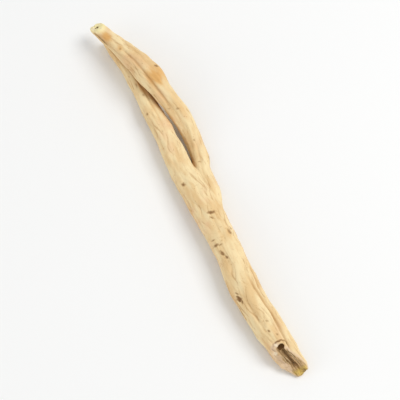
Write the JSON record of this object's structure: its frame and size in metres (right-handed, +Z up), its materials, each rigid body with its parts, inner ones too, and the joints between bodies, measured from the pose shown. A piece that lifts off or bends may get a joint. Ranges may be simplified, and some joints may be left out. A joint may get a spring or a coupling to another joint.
{
  "type": "ginseng root",
  "caption": "Dried forked ginseng root with a broken crown end, furrowed skin, and one leg bent over the other, lying on a surface.",
  "frame": {"origin": "on the table under the middle of the root's outline, at the height of its low spots", "axes": "+X along the root from the leg tips to the crown, +Z up, +Y to the side that the upper leg branches from"},
  "size_m": [0.1224, 0.0168, 0.0118],
  "materials": {
    "dried_skin": "matt pale tan dried skin with browner furrows and scars, and a grey-brown fibrous break at the crown"
  },
  "bodies": {
    "root": {"ginseng_root": "dried_skin"}
  },
  "joints": []
}
